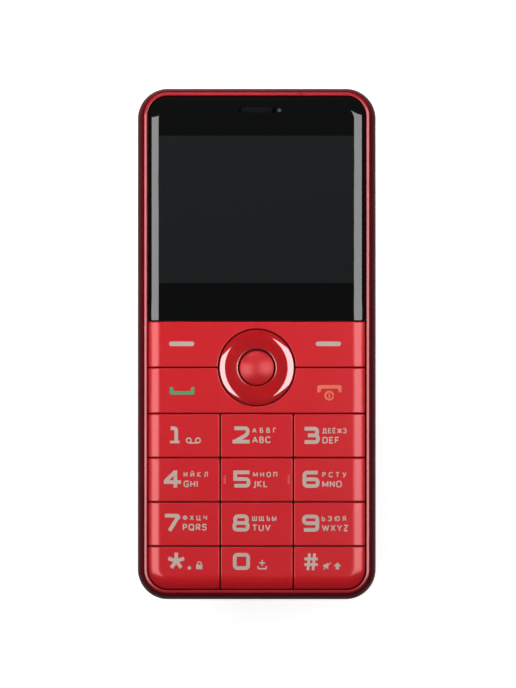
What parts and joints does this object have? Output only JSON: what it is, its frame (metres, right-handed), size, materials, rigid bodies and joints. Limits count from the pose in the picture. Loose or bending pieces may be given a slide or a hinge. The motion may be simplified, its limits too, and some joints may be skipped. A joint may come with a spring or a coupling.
{
  "type": "feature phone",
  "caption": "Candybar feature phone with large number keys, navigation ring and OK button, removable back cover and battery, headphone jack and charging socket.",
  "frame": {"origin": "middle of the flat back face, on which the phone lies", "axes": "+Z out of the screen, +Y towards the earpiece end, +X to the right as the user sees it"},
  "size_m": [0.057, 0.1222, 0.0125],
  "materials": {
    "housing_red": "gloss deep red lacquer over plastic",
    "key_red": "satin metallic red paint",
    "ring_red": "clear gloss over red",
    "button_red": "satin metallic red paint",
    "lens_black": "clear acrylic with a black printed border",
    "display_glass": "dark display glass",
    "window_glass": "dark camera window",
    "clear_plastic": "clear moulded plastic",
    "frame_white": "white moulding",
    "silicone": "translucent silicone",
    "rubber_black": "black foam and rubber",
    "black_plastic": "fine textured black plastic",
    "board_green": "green solder mask",
    "film_clear": "matt polyester film",
    "steel": "tinned pressed steel",
    "gilt": "gold plated spring metal",
    "battery_wrap": "printed wrap, left bare"
  },
  "bodies": {
    "root": {"antenna_clips": "gilt", "antenna_plate": "gilt", "backlight_frame": "frame_white", "battery_connector": "black_plastic", "battery_springs": "gilt", "board_lights": "clear_plastic", "camera_module": "black_plastic", "charging_socket": "steel", "display_flex": "board_green", "display_panel": "display_glass", "dome_sheet": "film_clear", "earpiece_gasket": "rubber_black", "earpiece_mesh": "steel", "earpiece_speaker": "black_plastic", "flash_led": "clear_plastic", "front_housing": "housing_red", "headphone_jack": "black_plastic", "housing_screws": "steel", "indicator_light_pipe": "clear_plastic", "keypad_mat": "silicone", "lens_adhesive": "rubber_black", "loudspeaker": "black_plastic", "main_board": "board_green", "memory_card_socket": "steel", "metal_domes": "steel", "microphone": "steel", "microphone_boot": "rubber_black", "processor_shield_can": "steel", "rear_housing": "black_plastic", "rf_shield_can": "steel", "screen_lens": "lens_black", "sim_sockets": "steel", "speaker_gasket": "rubber_black", "vibration_motor": "steel"},
    "key_0": {"key_0": "key_red"},
    "key_1": {"key_1": "key_red"},
    "key_2": {"key_2": "key_red"},
    "key_3": {"key_3": "key_red"},
    "key_4": {"key_4": "key_red"},
    "key_5": {"key_5": "key_red"},
    "key_6": {"key_6": "key_red"},
    "key_7": {"key_7": "key_red"},
    "key_8": {"key_8": "key_red"},
    "key_9": {"key_9": "key_red"},
    "key_hash": {"key_hash": "key_red"},
    "key_star": {"key_star": "key_red"},
    "soft_key_left": {"soft_key_left": "key_red"},
    "soft_key_right": {"soft_key_right": "key_red"},
    "call_key": {"call_key": "key_red"},
    "end_key": {"end_key": "key_red"},
    "ok_button": {"ok_button": "button_red"},
    "nav_ring_carrier": {"nav_ring_carrier": "black_plastic"},
    "nav_ring": {"nav_ring": "ring_red"},
    "vibration_weight": {"vibration_weight": "steel"},
    "back_cover": {"back_cover": "housing_red", "camera_window": "window_glass", "flash_lens": "clear_plastic", "speaker_mesh": "steel"},
    "battery": {"battery": "battery_wrap", "battery_pads": "gilt"}
  },
  "joints": [
    {"name": "press_key_0", "type": "slide", "parent": "root", "child": "key_0", "axis": [0, 0, -1], "range_m": [0, 0.00035], "stiffness_N_per_m": 3000, "deforming": ["keypad_mat"]},
    {"name": "press_key_1", "type": "slide", "parent": "root", "child": "key_1", "axis": [0, 0, -1], "range_m": [0, 0.00035], "stiffness_N_per_m": 3000, "deforming": ["keypad_mat"]},
    {"name": "press_key_2", "type": "slide", "parent": "root", "child": "key_2", "axis": [0, 0, -1], "range_m": [0, 0.00035], "stiffness_N_per_m": 3000, "deforming": ["keypad_mat"]},
    {"name": "press_key_3", "type": "slide", "parent": "root", "child": "key_3", "axis": [0, 0, -1], "range_m": [0, 0.00035], "stiffness_N_per_m": 3000, "deforming": ["keypad_mat"]},
    {"name": "press_key_4", "type": "slide", "parent": "root", "child": "key_4", "axis": [0, 0, -1], "range_m": [0, 0.00035], "stiffness_N_per_m": 3000, "deforming": ["keypad_mat"]},
    {"name": "press_key_5", "type": "slide", "parent": "root", "child": "key_5", "axis": [0, 0, -1], "range_m": [0, 0.00035], "stiffness_N_per_m": 3000, "deforming": ["keypad_mat"]},
    {"name": "press_key_6", "type": "slide", "parent": "root", "child": "key_6", "axis": [0, 0, -1], "range_m": [0, 0.00035], "stiffness_N_per_m": 3000, "deforming": ["keypad_mat"]},
    {"name": "press_key_7", "type": "slide", "parent": "root", "child": "key_7", "axis": [0, 0, -1], "range_m": [0, 0.00035], "stiffness_N_per_m": 3000, "deforming": ["keypad_mat"]},
    {"name": "press_key_8", "type": "slide", "parent": "root", "child": "key_8", "axis": [0, 0, -1], "range_m": [0, 0.00035], "stiffness_N_per_m": 3000, "deforming": ["keypad_mat"]},
    {"name": "press_key_9", "type": "slide", "parent": "root", "child": "key_9", "axis": [0, 0, -1], "range_m": [0, 0.00035], "stiffness_N_per_m": 3000, "deforming": ["keypad_mat"]},
    {"name": "press_key_hash", "type": "slide", "parent": "root", "child": "key_hash", "axis": [0, 0, -1], "range_m": [0, 0.00035], "stiffness_N_per_m": 3000, "deforming": ["keypad_mat"]},
    {"name": "press_key_star", "type": "slide", "parent": "root", "child": "key_star", "axis": [0, 0, -1], "range_m": [0, 0.00035], "stiffness_N_per_m": 3000, "deforming": ["keypad_mat"]},
    {"name": "press_soft_key_left", "type": "slide", "parent": "root", "child": "soft_key_left", "axis": [0, 0, -1], "range_m": [0, 0.00035], "stiffness_N_per_m": 3000, "deforming": ["keypad_mat"]},
    {"name": "press_soft_key_right", "type": "slide", "parent": "root", "child": "soft_key_right", "axis": [0, 0, -1], "range_m": [0, 0.00035], "stiffness_N_per_m": 3000, "deforming": ["keypad_mat"]},
    {"name": "press_call_key", "type": "slide", "parent": "root", "child": "call_key", "axis": [0, 0, -1], "range_m": [0, 0.00035], "stiffness_N_per_m": 3000, "deforming": ["keypad_mat"]},
    {"name": "press_end_key", "type": "slide", "parent": "root", "child": "end_key", "axis": [0, 0, -1], "range_m": [0, 0.00035], "stiffness_N_per_m": 3000, "deforming": ["keypad_mat"]},
    {"name": "press_ok_button", "type": "slide", "parent": "root", "child": "ok_button", "axis": [0, 0, -1], "range_m": [0, 0.00035], "stiffness_N_per_m": 3000, "deforming": ["keypad_mat"]},
    {"name": "ring_up_down", "type": "hinge", "parent": "root", "child": "nav_ring_carrier", "pos_m": [0, -0.00565, 0.01005], "axis": [1, 0, 0], "range_deg": [-1.5, 1.5], "stiffness_Nm_per_rad": 0.35, "deforming": ["keypad_mat"]},
    {"name": "ring_left_right", "type": "hinge", "parent": "nav_ring_carrier", "child": "nav_ring", "pos_m": [0, -0.00565, 0.01075], "axis": [0, 1, 0], "range_deg": [-1.5, 1.5], "stiffness_Nm_per_rad": 0.35, "deforming": ["keypad_mat"]},
    {"name": "lift_off_cover", "type": "slide", "parent": "root", "child": "back_cover", "axis": [0, 0, -1], "range_m": [0, 0.03]},
    {"name": "lift_out_battery", "type": "slide", "parent": "root", "child": "battery", "axis": [0, 0, -1], "range_m": [0, 0.015]},
    {"name": "motor_shaft", "type": "hinge", "parent": "root", "child": "vibration_weight", "pos_m": [-0.012, -0.04855, 0.0035], "axis": [1, 0, 0], "continuous": true}
  ],
  "couplings": [
    {"joint": "lift_out_battery", "follows": "lift_off_cover", "ratio": 0.5}
  ]
}
